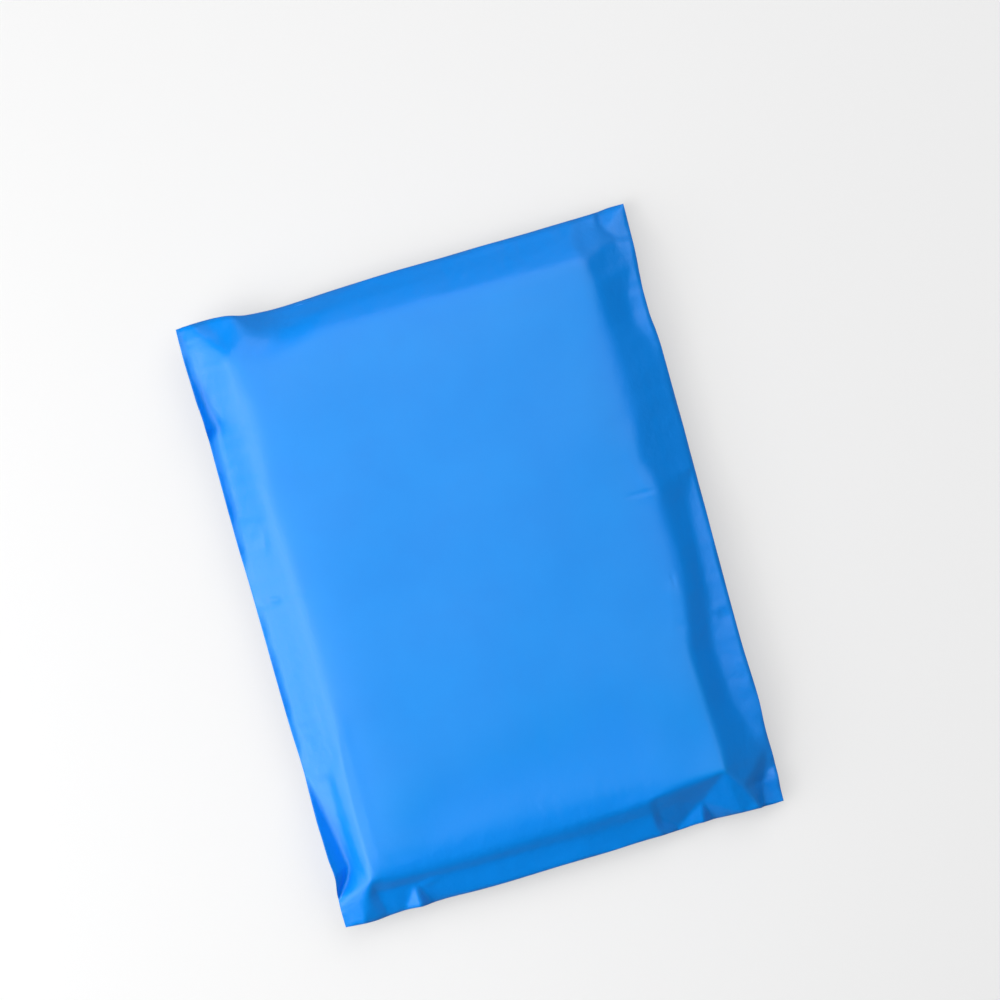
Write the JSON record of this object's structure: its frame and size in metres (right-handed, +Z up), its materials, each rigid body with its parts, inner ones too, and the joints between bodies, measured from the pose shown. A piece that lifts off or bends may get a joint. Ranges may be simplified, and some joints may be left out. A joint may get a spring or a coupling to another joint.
{
  "type": "poly mailer bag",
  "caption": "Sealed opaque blue polyethylene mailing bag, filled by a flat rectangular pack that shows through as a raised face with sloping margins and creased corners.",
  "frame": {"origin": "middle of the underside, on the surface that the bag lies on", "axes": "+X across the bag's width, +Y along its length towards the end with the closing flap, +Z up out of the plain front face"},
  "size_m": [0.2228, 0.2976, 0.03],
  "materials": {
    "film": "smooth satin low-density polyethylene film, opaque bright blue"
  },
  "bodies": {
    "root": {"mailer_bag": "film"}
  },
  "joints": []
}
